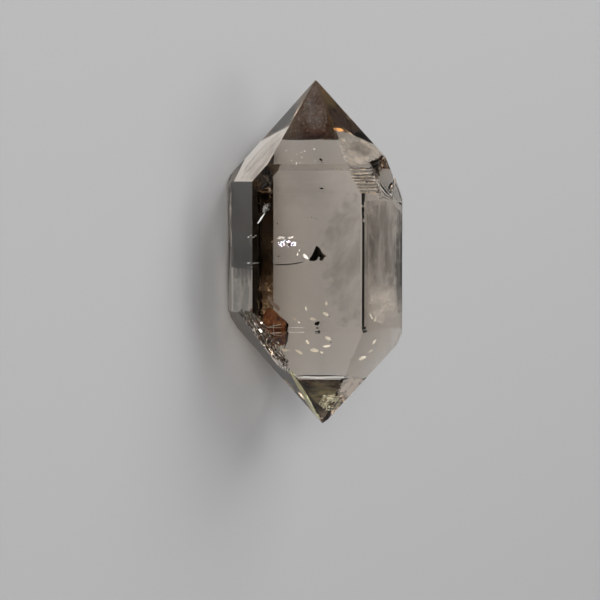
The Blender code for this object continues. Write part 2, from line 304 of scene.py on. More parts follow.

# Clouds and skins: name, outline, depth, colour, strength, centre, reach across and along, grain, and how
# far the grain is turned from the photograph's right and drawn out. Many of those that lie close under a
# face are painted light and painted shade, for what the face reflects, not for things in the stone.
VEILS = [
    ("smoke_cloud",
     [(318, 192), (340, 184), (360.5, 196), (360.5, 327), (340, 327), (318, 320)],
     2, (0.05, 0.035, 0.022), 0.2, (351, 258), (3.2, 7.2), 0.5, 60, 2.5),
    ("front_smear",
     [(256, 168), (346, 167), (350, 214), (256, 214)],
     0.8, (0.12, 0.065, 0.03), 0.08, (298, 186), (5.6, 2.6), 0.9, 0, 5),
    ("side_smoke",
     [(366.5, 201), (378, 200), (392, 202), (403, 214), (403, 290), (366.5, 290)],
     0.4, (0.07, 0.045, 0.018), 0.42, (385, 240), (3.2, 5.4), 1.2, 88, 7),
    # Painted shade: fine dark lines along the right edge
    ("side_lines",
     [(394, 206), (403.2, 212), (403.2, 318), (394, 318)],
     0.1, (0.03, 0.025, 0.02), 0.7, (400.6, 260), (0.7, 6.5), 5, 90, 30),
    ("cream_patch",
     [(338, 139), (343.5, 136.5), (352.7, 136.5), (363.5, 139.5), (374.3, 144.2), (382.6, 153.4),
      (377.4, 159.4), (368, 161.6), (366.4, 165), (351, 166), (344.3, 160)],
     0.08, (0.95, 0.84, 0.72), 0.95, (358, 152), (3, 2), 1.1, -30, 1.8),
    ("patch_shade",
     [(350, 140), (365, 143), (374, 152), (370, 158), (356, 157), (349, 148)],
     0.05, (0.2, 0.15, 0.1), 0.26, (360, 149), (1.5, 1), 1.6, -30, 2),
    ("point_brown",
     [(310, 90), (316.4, 83), (324, 102), (330, 120), (335.4, 139), (284, 139), (296, 116)],
     0.1, (0.12, 0.035, 0.005), 1.2, (312, 122), (4.2, 4.2), 1.2, 0, 3),
    ("point_band",
     [(283, 138.8), (286, 131), (332, 131), (335.4, 138.8)],
     0.07, (0.07, 0.018, 0.006), 0.8, (308, 138.5), (3.4, 0.7), 1.6, 0, 4),
    ("point_smear",
     [(312, 88), (316.4, 84.5), (323, 101), (328, 120), (331, 133), (292, 133), (300, 112)],
     0.08, (0.85, 0.76, 0.66), 0.18, (314, 109), (1.8, 2.7), 1.4, 70, 3),
    # Painted shade: dark brown down the right side of the left point
    ("point_side",
     [(318, 84.5), (346, 113.5), (373, 142), (364, 139.4), (353, 134.6), (344, 127.6), (334, 127),
      (326, 106)],
     0.06, (0.06, 0.02, 0.004), 1.5, (352, 124), (3.4, 3.2), 0.9, -46, 4),
    # Painted shade: a dark blue-grey wedge on the left point
    ("point_dusk",
     [(266.5, 138.6), (279, 121), (292.5, 105), (302.5, 94), (299.5, 106), (288.5, 124.5)],
     0.05, (0.02, 0.024, 0.026), 0.85, (286, 118), (2.6, 3.4), 0.8, 50, 4),
    # Painted shade: a black wedge on the right side of the left point
    ("side_wedge",
     [(346, 127), (356, 128.5), (368, 139), (373.4, 144.4), (362, 139), (352, 134.6)],
     0.04, (0.008, 0.005, 0.003), 1, (361, 136), (2.2, 1.6), 0.3, 0, 1),
    # Painted reflection: pink streaks on the pale face of the left point
    ("left_brush",
     [(240, 179.8), (246, 166), (262, 146), (284.5, 129), (277, 148), (254, 179.8)],
     0.06, (0.5, 0.28, 0.18), 0.3, (262, 157), (3.4, 3.6), 2.2, 47, 12),
    # Painted shade: dark streaks on the left strip
    ("left_streaks",
     [(233.4, 238), (251.4, 238), (251.4, 292), (233.4, 292)],
     0.1, (0.05, 0.055, 0.05), 0.85, (242, 264), (1.7, 2.2), 1.6, 90, 7),
    # Painted reflection: a pale green tint low on the left strip
    ("left_green",
     [(233.4, 268), (251.4, 268), (251.4, 318), (238, 318), (233.4, 310)],
     0.12, (0.3, 0.37, 0.28), 0.4, (241, 300), (1.6, 3.2), 1.4, 86, 6),
    # Painted shade: a dark line along the left edge, over a glint
    ("left_border",
     [(228.6, 184), (233.2, 182), (233.2, 320), (228.8, 318)],
     0.04, (0.05, 0.055, 0.052), 1, (231, 236), (0.6, 9), 2, 90, 10),
    # Painted shade: the black top of the dark strip
    ("strip_top",
     [(253, 180.8), (262, 170), (266.5, 165.6), (275, 165.6), (271, 186), (262, 190), (253, 192)],
     0.1, (0.012, 0.006, 0.003), 1, (263, 179), (1.9, 2), 1.6, 50, 2),
    # Painted reflection: an olive tint in the right point
    ("olive_reflection",
     [(301, 380), (346, 380), (341, 392), (334, 402), (323, 408), (312, 399)],
     1.2, (0.6, 0.5, 0.28), 0.8, (325, 396), (2.4, 2), 1.2, 0, 2),
]

# Clouds that catch the light, made of small cells: name, depth, colour, strength and so on, as above
BRIGHT_CELL = 3.0
BRIGHT_EDGE = 1.1
BRIGHT_VEILS = [
    ("side_cream", 0.9, (0.98, 0.87, 0.76), 0.38, (384, 303), (1.9, 2.3), 1.1, 20, 2),
    # Painted highlight: a cream patch by the right point's tip, in cells turned to the light
    ("tip_cream", 0.25, (1, 0.88, 0.76), 2.4, (353, 387.5), (1.6, 1.3), 1.6, 40, 2),
]

# Scattered flakes: depth, how many, length and width, how far they lean in radians, seed
SCATTERED = {
    "crack_sparks": (RAINBOW_DEPTH - 0.1, 40, (0.14, 0.06), 0.03, 6),
    "feather_needles": (FEATHER_DEPTH, 26, (0.3, 0.022), 0.25, 9),
    "corner_dark_specks": (0.2, 60, (0.18, 0.05), 0.5, 12),
    "corner_sparks": (0.25, 44, (0.16, 0.045), 0.15, 13),
    "point_speckles": (0.06, 120, (0.09, 0.05), 0.5, 31),
    "golden_flakes": (0.4, 140, (0.4, 0.045), 0.16, 21),
    "golden_dust": (0.7, 70, (0.14, 0.09), 0.3, 22),
}
FLAKE_SIZES = (0.45, 1.3)

# Dark specks: middle, length and width in pixels, turn in degrees
SPECK_DEPTH = 0.6
SPECK_THICKNESS = 0.15
BLOT_DEPTH = 0.1
DARK_SPECKS = [
    (321, 159.8, 4.2, 2.5, 35), (322, 162.4, 1.2, 0.8, 70), (321.4, 188.4, 4.2, 1.7, 5),
    (307.6, 217.8, 0.9, 0.7, 0), (311.6, 217.3, 1.1, 1.0, 60), (315, 218.2, 1.2, 0.9, 20),
    (317.2, 218.8, 0.9, 0.8, 0), (277.4, 223.6, 2.2, 1.0, 80), (278.5, 256.3, 1.7, 1.2, 0),
    (370.1, 244.1, 2.6, 0.9, 10), (359.1, 156.4, 2.4, 1.4, 60), (317.3, 328, 3.0, 1.3, 5),
    (316.2, 332.2, 3.4, 1.8, -40), (318.9, 331.2, 3.0, 2.0, 0), (329.2, 316.8, 1.6, 1.2, 40),
    (330.8, 342.2, 1.7, 1.0, 30),
]
DARK_BLOB = [(314.6, 322.8), (317, 321.6), (319.9, 321.4), (319.4, 323.8), (317.8, 325.7), (314.7, 325)]
EDGE_BLOTS = [
    [(361.4, 327.8), (364, 326.4), (366.2, 327), (366, 329), (362.4, 329.8)],
    [(362, 330.6), (364.9, 329.9), (367.4, 330.6), (366.6, 332.4), (363, 332.8)],
]

# Cream flecks and white dots: middle, length and width in pixels, turn in degrees
CREAM_DEPTHS = (1.2, 2.4)
CREAM_LEAN = 0.1
DOT_DEPTH = 0.35
DOT_SIZE = 0.85
CREAM_FLECKS = [
    (294.8, 319, 4.8, 2.0, 40), (298.6, 322, 3.4, 1.2, 45), (312.6, 319, 6.0, 3.4, 15),
    (325.6, 314.2, 6.6, 3.6, 25), (326.4, 303.6, 5.0, 2.4, 80), (306.2, 308.6, 4.4, 1.8, 75),
    (328, 338.2, 6.8, 3.2, 25), (326.6, 346.2, 7.4, 2.4, -8), (314.6, 350.4, 9.0, 4.2, 5),
    (299, 351.8, 9.4, 2.4, 32), (307.6, 342, 5.4, 2.4, 60), (321.8, 352.4, 3.4, 1.8, 20),
    (371.4, 316.6, 7.0, 1.5, 65), (375.2, 319, 5.2, 1.6, -70), (379.8, 312.8, 5.0, 2.2, -40),
    (374.2, 342, 6.6, 1.8, -52), (371, 350.8, 6.4, 2.0, -35), (362.4, 358.2, 9.0, 3.0, -28),
]
WHITE_DOTS = [
    (314.3, 149.1, 2.0, 1.5, 80), (304.4, 151.2, 2.0, 1.4, -40), (301.4, 152.4, 1.8, 1.0, -20),
    (296.6, 154.3, 1.3, 1.3, 0), (302, 157.2, 1.5, 1.4, 70), (296.5, 163.2, 1.9, 2.0, 60),
    (299.9, 162.6, 1.4, 1.3, 0), (291.8, 160.8, 1.3, 1.2, 0), (315, 160.8, 1.6, 1.3, 80),
    (286.1, 150.4, 1.3, 1.8, 0), (329.6, 317.6, 1.0, 1.0, 0), (330, 341.4, 1.3, 1.0, 0),
]


def photo_frame(right, up, near):
    """A place given from the long axis by the photograph's right, its up and towards the viewer."""
    return LONG_AXIS + PHOTO_RIGHT * right + PHOTO_UP * up + TO_VIEWER * near


EYE = photo_frame(EYE_SHIFT[0], EYE_SHIFT[1], VIEW_DISTANCE)
AIM = photo_frame(AIM_SHIFT[0], AIM_SHIFT[1], 0.0)
FORWARD = (AIM - EYE).normalized()
CAMERA_UP = PHOTO_RIGHT.cross(FORWARD).normalized()


def surface_of(node):
    """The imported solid's surface, in millimetres, to be met by lines of sight."""
    places = [corner.co / MM for corner in node.data.vertices]
    return BVHTree.FromPolygons(places, [tuple(face.vertices) for face in node.data.polygons])


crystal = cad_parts["quartz_crystal"]
SURFACE = surface_of(crystal)


def direction(azimuth, elevation):
    """The way to a place in the room, in degrees: azimuth 0 is +Y and 90 is +X."""
    a, e = math.radians(azimuth), math.radians(elevation)
    return Vector((math.sin(a) * math.cos(e), math.cos(a) * math.cos(e), math.sin(e)))


def bent(way, face, ratio):
    """A ray's way after it crosses a face, by Snell's law."""
    into = -face.dot(way)
    slope = math.sqrt(1.0 - ratio ** 2 * (1.0 - into ** 2))
    return (way * ratio + face * (ratio * into - slope)).normalized()


def sight(u, v):
    """Where the line of sight through a pixel enters the quartz, and which way it goes on inside.

    A pixel just outside the crystal is moved in until it meets it.
    """
    entry = None
    while entry is None:
        right = (u - AIM_PIXEL[0]) * MM_PER_PIXEL
        up = (AIM_PIXEL[1] - v) * MM_PER_PIXEL
        way = (AIM + PHOTO_RIGHT * right + CAMERA_UP * up - EYE).normalized()
        entry, face, _, _ = SURFACE.ray_cast(EYE, way)
        u += (AIM_PIXEL[0] - u) * MOVE_IN
        v += (AIM_PIXEL[1] - v) * MOVE_IN
    if face.dot(way) > 0.0:
        face.negate()
    return entry, bent(way, face, 1.0 / REFRACTION)


def inside(u, v, depth):
    """The place at a depth along the line of sight through a pixel."""
    entry, way = sight(u, v)
    return entry + way * depth


def on_plane(u, v, place, normal):
    """Where the line of sight through a pixel meets a plane, kept past its entry and near a place on it."""
    entry, way = sight(u, v)
    reach = (place - entry).dot(normal) / way.dot(normal)
    furthest = 2.0 * (place - entry).length
    return entry + way * min(max(reach, NEAREST), furthest)


def even_ways(count):
    """Ways spread evenly all round."""
    ways = []
    for i in range(count):
        z = 1.0 - (2.0 * i + 1.0) / count
        r = math.sqrt(1.0 - z * z)
        a = i * math.pi * (3.0 - math.sqrt(5.0))
        ways.append(Vector((r * math.cos(a), r * math.sin(a), z)))
    return ways


TRIED_WAYS = even_ways(WAYS_TRIED)
LIGHT_WAYS = [direction(*LIGHTS[name][:2]) for name in ("key", "fill", "back")]


def light_match(place, way, light):
    """How well a ray that leaves the quartz straight from a place points at a light."""
    face = SURFACE.ray_cast(place, way)[1]
    if face is None:
        return -1.0
    if face.dot(way) > 0.0:
        face.negate()
    if REFRACTION ** 2 * (1.0 - face.dot(way) ** 2) > GRAZING:
        return -1.0
    return bent(way, face, REFRACTION).dot(light)


def towards_light(place, light):
    """The way inside the quartz from a place to a light, through any face, and how well it fits."""
    tries = ((way, light_match(place, way, light)) for way in TRIED_WAYS)
    best, match = max(tries, key=lambda tried: tried[1])
    for step in FINER_STEPS:
        for turn in TRIED_WAYS[::WAYS_TRIED // TURNS_TRIED]:
            way = (best + turn * step).normalized()
            found = light_match(place, way, light)
            if found > match:
                best, match = way, found
    return best, match


def facing_light(u, v, depth):
    """The way a small mirror faces that shows a light to the photograph's viewer, the key light first.

    From other sides such a mirror is dull or dark.
    """
    entry, way = sight(u, v)
    found = []
    for light in LIGHT_WAYS:
        towards, match = towards_light(entry + way * depth, light)
        facing = (towards - way).normalized()
        if match > GOOD_MATCH and -facing.dot(way) > LEAST_OPEN:
            return facing
        found.append((match - facing.dot(way), facing))
    return max(found, key=lambda tried: tried[0])[1]


def middle_of(outline):
    """The mean of an outline's corners."""
    return (sum(u for u, _ in outline) / len(outline), sum(v for _, v in outline) / len(outline))


def blob(u, v, length, width, turn, draw):
    """An uneven oval outline."""
    c, s = math.cos(math.radians(turn)), math.sin(math.radians(turn))
    outline = []
    for i in range(BLOB_CORNERS):
        a = 2.0 * math.pi * i / BLOB_CORNERS
        along = 0.5 * length * math.cos(a) * draw.uniform(*BLOB_REACH)
        across = 0.5 * width * math.sin(a) * draw.uniform(*BLOB_REACH)
        outline.append((u + along * c - across * s, v + along * s + across * c))
    return outline


def stroke(points, width):
    """The outline of a line that tapers to both ends."""
    left, right = [], []
    for i, (u, v) in enumerate(points):
        before = points[max(i - 1, 0)]
        after = points[min(i + 1, len(points) - 1)]
        run = math.hypot(after[0] - before[0], after[1] - before[1])
        across = ((before[1] - after[1]) / run, (after[0] - before[0]) / run)
        half = 0.5 * width * (1.0 if 0 < i < len(points) - 1 else STROKE_END)
        left.append((u + across[0] * half, v + across[1] * half))
        right.append((u - across[0] * half, v - across[1] * half))
    return left + right[::-1]


def add_rings(shape, rings):
    """A closed solid through rings of places, from its near end to its far one."""
    rows = [[shape.verts.new(place * MM) for place in ring] for ring in rings]
    count = len(rows[0])
    for near, far in zip(rows, rows[1:]):
        for i in range(count):
            shape.faces.new((near[i], near[(i + 1) % count], far[(i + 1) % count], far[i]))
    ends = [shape.faces.new(rows[0]), shape.faces.new(rows[-1][::-1])]
    bmesh.ops.triangulate(shape, faces=ends)


def add_film(shape, outline, depth, facing=None):
    """A thin film that fills an outline: at one depth, or flat and turned to face a given way."""
    if facing is None:
        near = [inside(u, v, depth) for u, v in outline]
        far = [inside(u, v, depth + FILM_THICKNESS) for u, v in outline]
    else:
        place = inside(*middle_of(outline), depth)
        near = [on_plane(u, v, place, facing) for u, v in outline]
        far = [corner - facing * FILM_THICKNESS for corner in near]
    add_rings(shape, [near, far])


def add_pale_line(shape, points, width, depth):
    """A line of short films, each turned to catch the light."""
    for start, end in zip(points, points[1:]):
        count = max(1, round(math.hypot(end[0] - start[0], end[1] - start[1]) / PALE_STEP))
        for i in range(count):
            first, last = i / count, (i + 1) / count
            ends = [(start[0] + (end[0] - start[0]) * share, start[1] + (end[1] - start[1]) * share)
                    for share in (first, 0.5 * (first + last), last)]
            outline = [(u, v + half) for half in (-0.5 * width, 0.5 * width) for u, v in ends]
            outline = outline[:3] + outline[:2:-1]
            add_film(shape, outline, depth, facing_light(*middle_of(outline), depth))


def add_lump(shape, outline, depth, thickness, draw):
    """A faceted grain that fills an outline."""
    middle = middle_of(outline)
    rings = []
    for share, size in LUMP_RINGS:
        ring = []
        for u, v in outline:
            near = depth + thickness * (share + draw.uniform(-LUMP_WANDER, LUMP_WANDER))
            ring.append(inside(middle[0] + (u - middle[0]) * size, middle[1] + (v - middle[1]) * size, near))
        rings.append(ring)
    add_rings(shape, rings)


def add_object(name, data):
    """An object in the scene."""
    thing = bpy.data.objects.new(name, data)
    bpy.context.scene.collection.objects.link(thing)
    return thing


def piece(name, shape, material):
    """A finished piece, sealed in the crystal and riding with it."""
    bmesh.ops.recalc_face_normals(shape, faces=shape.faces)
    mesh = bpy.data.meshes.new(name)
    shape.to_mesh(mesh)
    shape.free()
    mesh.materials.append(material)
    thing = add_object(name, mesh)
    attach(thing, "root")


def film_piece(name, outlines, depth, material, lit=False):
    """A piece of thin films at one depth, each turned to catch the light if they are lit."""
    films = bmesh.new()
    for outline in outlines:
        facing = facing_light(*middle_of(outline), depth) if lit else None
        add_film(films, outline, depth, facing)
    piece(name, films, material)


def pale_piece(name, lines, depth, material):
    """A piece of pale lines at one depth."""
    films = bmesh.new()
    for points, width in lines:
        add_pale_line(films, points, width, depth)
    piece(name, films, material)


def add_node(tree, kind, values=None, **settings):
    """A node with its settings, and with its inputs set to values or joined to other nodes' outputs."""
    node = tree.nodes.new(kind)
    for setting, value in settings.items():
        setattr(node, setting, value)
    for socket, value in (values or {}).items():
        if isinstance(value, bpy.types.NodeSocket):
            tree.links.new(value, node.inputs[socket])
        else:
            node.inputs[socket].default_value = value
    return node


def flake_tree():
    """Scatters small six-sided flakes over a patch, all turned nearly the same way."""
    tree = bpy.data.node_groups.new("scattered_flakes", "GeometryNodeTree")
    inputs = {"Geometry": "Geometry", "Density": "Float", "Length": "Float", "Width": "Float",
              "Thickness": "Float", "Facing": "Vector", "Lean": "Float", "Seed": "Int",
              "Material": "Material"}
    for name, kind in inputs.items():
        tree.interface.new_socket(name, in_out="INPUT", socket_type="NodeSocket" + kind)
    tree.interface.new_socket("Geometry", in_out="OUTPUT", socket_type="NodeSocketGeometry")
    given = add_node(tree, "NodeGroupInput").outputs
    seed, lean = given["Seed"], given["Lean"]
    points = add_node(tree, "GeometryNodeDistributePointsOnFaces", {
        "Mesh": given["Geometry"], "Density": given["Density"], "Seed": seed})
    cylinder = add_node(tree, "GeometryNodeMeshCylinder", {"Vertices": 6, "Radius": 0.5, "Depth": 1.0})
    flake = add_node(tree, "GeometryNodeSetShadeSmooth", {
        "Geometry": cylinder.outputs["Mesh"], "Shade Smooth": False})
    down = add_node(tree, "ShaderNodeMath", {0: lean, 1: -1.0}, operation="MULTIPLY").outputs["Value"]
    lowest = add_node(tree, "ShaderNodeCombineXYZ", {"X": down, "Y": down})
    highest = add_node(tree, "ShaderNodeCombineXYZ", {"X": lean, "Y": lean, "Z": 2.0 * math.pi})
    turn = add_node(tree, "FunctionNodeRandomValue", {
        "Min": lowest.outputs["Vector"], "Max": highest.outputs["Vector"], "Seed": seed,
    }, data_type="FLOAT_VECTOR")
    spin = add_node(tree, "FunctionNodeEulerToRotation", {"Euler": turn.outputs["Value"]})
    facing = add_node(tree, "FunctionNodeAlignRotationToVector", {"Vector": given["Facing"]}, axis="Z")
    turned = add_node(tree, "FunctionNodeRotateRotation", {
        "Rotation": facing.outputs["Rotation"], "Rotate By": spin.outputs["Rotation"],
    }, rotation_space="LOCAL")
    size = add_node(tree, "ShaderNodeCombineXYZ", {
        "X": given["Length"], "Y": given["Width"], "Z": given["Thickness"]})
    factor = add_node(tree, "FunctionNodeRandomValue", {
        2: FLAKE_SIZES[0], 3: FLAKE_SIZES[1], "Seed": seed,
    }, data_type="FLOAT")
    scaled = add_node(tree, "ShaderNodeVectorMath", {
        0: size.outputs["Vector"], "Scale": factor.outputs[1],
    }, operation="SCALE")
    placed = add_node(tree, "GeometryNodeInstanceOnPoints", {
        "Points": points.outputs["Points"], "Instance": flake.outputs["Geometry"],
        "Rotation": turned.outputs["Rotation"], "Scale": scaled.outputs["Vector"]})
    real = add_node(tree, "GeometryNodeRealizeInstances", {"Geometry": placed.outputs["Instances"]})
    coated = add_node(tree, "GeometryNodeSetMaterial", {
        "Geometry": real.outputs["Geometry"], "Material": given["Material"]})
    add_node(tree, "NodeGroupOutput", {"Geometry": coated.outputs["Geometry"]})
    return tree


def scatter(name, outline, material):
    """Small flakes over an outline, at one depth, turned to catch the light."""
    depth, count, size, lean, seed = SCATTERED[name]
    patch = bmesh.new()
    patch.faces.new([patch.verts.new(inside(u, v, depth) * MM) for u, v in outline])
    patch.normal_update()
    area = sum(face.calc_area() for face in patch.faces)
    mesh = bpy.data.meshes.new(name + "_patch")
    patch.to_mesh(mesh)
    patch.free()
    thing = add_object(name + "_patch", mesh)
    change = thing.modifiers.new("flakes", "NODES")
    change.node_group = FLAKE_TREE
    values = {
        "Density": count / area,
        "Length": size[0] * MM,
        "Width": size[1] * MM,
        "Thickness": FILM_THICKNESS * MM,
        "Facing": facing_light(*middle_of(outline), depth),
        "Lean": lean,
        "Seed": seed,
        "Material": material,
    }
    for socket in FLAKE_TREE.interface.items_tree:
        if socket.in_out == "INPUT" and socket.name in values:
            change[socket.identifier] = values[socket.name]
    bpy.context.view_layer.update()
    scene_now = bpy.context.evaluated_depsgraph_get()
    plain = bpy.data.meshes.new_from_object(thing.evaluated_get(scene_now))
    bpy.data.objects.remove(thing)
    flakes = add_object(name, plain)
    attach(flakes, "root")


def make_material(name, colour=(1.0, 1.0, 1.0), roughness=0.5, metallic=0.0, alpha=1.0):
    """A plain finish."""
    material = bpy.data.materials.new(name)
    material.use_nodes = True
    shader = material.node_tree.nodes["Principled BSDF"]
    values = {"Base Color": (*colour, 1.0), "Roughness": roughness, "Metallic": metallic, "Alpha": alpha}
    for socket, value in values.items():
        shader.inputs[socket].default_value = value
    return material


def in_millimetres(tree, stretch=(1.0, 1.0, 1.0)):
    """A pattern's coordinates: the crystal's own, in millimetres, squeezed by a factor each way."""
    coordinates = add_node(tree, "ShaderNodeTexCoord").outputs["Object"]
    scale = [factor / MM for factor in stretch]
    return add_node(tree, "ShaderNodeMapping", {"Vector": coordinates, "Scale": scale}).outputs["Vector"]


def add_noise(tree, coordinates, scale, detail=3.0, roughness=0.5):
    """A cloudy pattern."""
    return add_node(tree, "ShaderNodeTexNoise", {
        "Vector": coordinates, "Scale": scale, "Detail": detail, "Roughness": roughness}).outputs["Fac"]


def add_maths(tree, operation, first, second):
    """The result of one operation on two values or outputs."""
    return add_node(tree, "ShaderNodeMath", {0: first, 1: second}, operation=operation).outputs["Value"]


def add_dot(tree, coordinates, axis, shift=0.0):
    """How far along an axis a place lies, less a shift."""
    dot = add_node(tree, "ShaderNodeVectorMath", {0: coordinates, 1: axis}, operation="DOT_PRODUCT")
    return add_maths(tree, "SUBTRACT", dot.outputs["Value"], shift)


def add_range(tree, value, low, high, bottom, top, kind="LINEAR"):
    """A value brought from between low and high to between bottom and top."""
    return add_node(tree, "ShaderNodeMapRange", {
        "Value": value, "From Min": low, "From Max": high, "To Min": bottom, "To Max": top,
    }, interpolation_type=kind).outputs["Result"]


def cloudy_finish(name, stops, roughness, scale, detail, patchy=0.5, stretch=(1.0, 1.0, 1.0), metallic=0.0):
    """A finish whose colour runs through the stops as a cloudy pattern rises."""
    material = make_material(name, roughness=roughness, metallic=metallic)
    tree = material.node_tree
    ramp = add_node(tree, "ShaderNodeValToRGB", {
        "Fac": add_noise(tree, in_millimetres(tree, stretch), scale, detail, patchy)})
    elements = ramp.color_ramp.elements
    while len(elements) < len(stops):
        elements.new(0.5)
    for element, (place, colour) in zip(elements, stops):
        element.position = place
        element.color = (*colour, 1.0)
    tree.links.new(ramp.outputs["Color"], tree.nodes["Principled BSDF"].inputs["Base Color"])
    return material


def rainbow_film():
    """A thin film of air that shows faint pink, blue and violet."""
    return cloudy_finish("rainbow_film", RAINBOW, 0.12, scale=6.0, detail=1.0, metallic=1.0)


def smoky_quartz():
    """Clear quartz with a smoky tint: faint growth lines across the prism, and hillocks on the left point."""
    material = make_material("smoky_quartz", roughness=0.0)
    tree = material.node_tree
    shader = tree.nodes["Principled BSDF"]
    shader.inputs["IOR"].default_value = REFRACTION
    shader.inputs["Transmission Weight"].default_value = 1.0
    smoke = add_node(tree, "ShaderNodeVolumeAbsorption", {"Density": TINT_DENSITY, "Color": (*TINT, 1.0)})
    tree.links.new(smoke.outputs["Volume"], tree.nodes["Material Output"].inputs["Volume"])

    even = in_millimetres(tree)
    along = add_node(tree, "ShaderNodeSeparateXYZ", {"Vector": even}).outputs["X"]
    on_left_point = add_range(tree, along, HILLOCKS_START, HILLOCKS_FULL, 0.0, 1.0)
    waves = add_noise(tree, even, WAVE_SCALE, detail=1.0)
    lines = add_noise(tree, in_millimetres(tree, LINE_SQUEEZE), LINE_SCALE, detail=2.0)
    hillocks = add_noise(tree, even, HILLOCK_SCALE, detail=3.0, roughness=0.55)
    prism = add_maths(tree, "ADD", waves, add_maths(tree, "MULTIPLY", lines, LINE_HEIGHT))
    left_hillocks = add_maths(tree, "MULTIPLY", hillocks, on_left_point)
    point = add_maths(tree, "MULTIPLY", left_hillocks, HILLOCK_HEIGHT)
    bump = add_node(tree, "ShaderNodeBump", {
        "Strength": 1.0, "Distance": UNEVENNESS * MM, "Height": add_maths(tree, "ADD", prism, point)})
    tree.links.new(bump.outputs["Normal"], shader.inputs["Normal"])
    return material


def make_grain():
    """The dark grain and the brown one on its side."""
    draw = random.Random(11)
    black = bmesh.new()
    add_lump(black, GRAIN_BLACK, GRAIN_DEPTH, GRAIN_THICKNESS, draw)
    piece("dark_grain", black, BLACK_MINERAL_AND_SHADE)
    brown = bmesh.new()
    add_lump(brown, GRAIN_BROWN, BROWN_GRAIN_DEPTH, GRAIN_THICKNESS, draw)
    piece("brown_grain", brown, BROWN_MINERAL)


def in_photo_plane(tree, turn, stretch):
    """A pattern's coordinates as the photograph shows them, drawn out along a line turned from its right."""
    place = in_millimetres(tree)
    c, s = math.cos(math.radians(turn)), math.sin(math.radians(turn))
    along = add_dot(tree, place, (PHOTO_RIGHT * c + PHOTO_UP * s) / stretch)
    across = add_dot(tree, place, PHOTO_UP * c - PHOTO_RIGHT * s)
    return add_node(tree, "ShaderNodeCombineXYZ", {"X": along, "Y": across}).outputs["Vector"]


def veil_finish(name, colour, strength, middle, reach, grain, turn, stretch, metallic=0.0):
    """A haze that is thickest in its middle and fades out unevenly."""
    material = make_material(name, colour, 0.5, metallic)
    tree = material.node_tree
    place = in_millimetres(tree)
    across = add_dot(tree, place, PHOTO_RIGHT / reach[0], PHOTO_RIGHT.dot(middle) / reach[0])
    along = add_dot(tree, place, PHOTO_UP / reach[1], PHOTO_UP.dot(middle) / reach[1])
    squares = add_maths(tree, "ADD", add_maths(tree, "MULTIPLY", across, across),
                        add_maths(tree, "MULTIPLY", along, along))
    wander = add_noise(tree, place, WANDER_SCALE, detail=2.0)
    uneven = add_maths(tree, "MULTIPLY", add_maths(tree, "SUBTRACT", wander, 0.5), WANDER)
    squares = add_maths(tree, "ADD", squares, uneven)
    fade = add_range(tree, squares, *FADE, 0.0, strength, "SMOOTHSTEP")
    cloud = add_noise(tree, in_photo_plane(tree, turn, stretch), grain, detail=5.0, roughness=0.6)
    patchy = add_range(tree, cloud, *PATCHY, 0.0, 1.0, "SMOOTHSTEP")
    haze = add_maths(tree, "MULTIPLY", fade, patchy)
    tree.links.new(haze, tree.nodes["Principled BSDF"].inputs["Alpha"])
    return material


def make_veils():
    """Faint clouds and skins in the quartz, each an uneven film under one face; several are painted light and
    shade.
    """
    for name, outline, depth, colour, strength, centre, reach, grain, turn, stretch in VEILS:
        veil = bmesh.new()
        add_film(veil, outline, depth)
        middle = inside(*centre, depth)
        piece(name, veil, veil_finish(name, colour, strength, middle, reach, grain, turn, stretch))
    for name, depth, colour, strength, centre, reach, grain, turn, stretch in BRIGHT_VEILS:
        veil = bmesh.new()
        wide, high = (int(size / MM_PER_PIXEL / BRIGHT_CELL) for size in reach)
        for i in range(-wide, wide + 1):
            for j in range(-high, high + 1):
                u, v = centre[0] + i * BRIGHT_CELL, centre[1] + j * BRIGHT_CELL
                half = 0.5 * BRIGHT_CELL
                if (i / wide) ** 2 + (j / high) ** 2 > BRIGHT_EDGE:
                    continue
                corners = ((-half, -half), (half, -half), (half, half), (-half, half))
                cell = [(u + right, v + down) for right, down in corners]
                add_film(veil, cell, depth, facing_light(u, v, depth))
        middle = inside(*centre, depth)
        finish = veil_finish(name, colour, strength, middle, reach, grain, turn, stretch, metallic=0.6)
        piece(name, veil, finish)


def make_steps_shade():
    """Painted shade under the treads of the steps and painted highlights over them."""
    draw = random.Random(4)
    dark = bmesh.new()
    pale = bmesh.new()
    for v, start, end in STEP_LINES:
        low = [(start + (end - start) * i / STEP_PARTS, v + draw.uniform(-STEP_WANDER, STEP_WANDER))
               for i in range(STEP_PARTS + 1)]
        high = [(u, v + STEP_LIGHT_SHIFT) for u, v in low]
        add_film(dark, stroke(low, STEP_SHADE_WIDTH * draw.uniform(*STEP_SHADE_SHARES)), STEP_SHADE_DEPTH)
        add_pale_line(pale, high, STEP_LIGHT_WIDTH, STEP_LIGHT_DEPTH)
    piece("step_shadows", dark, BLACK_MINERAL_AND_SHADE)
    piece("step_lights", pale, make_material("step_light", (1.0, 0.84, 0.66), 0.5, metallic=0.3))


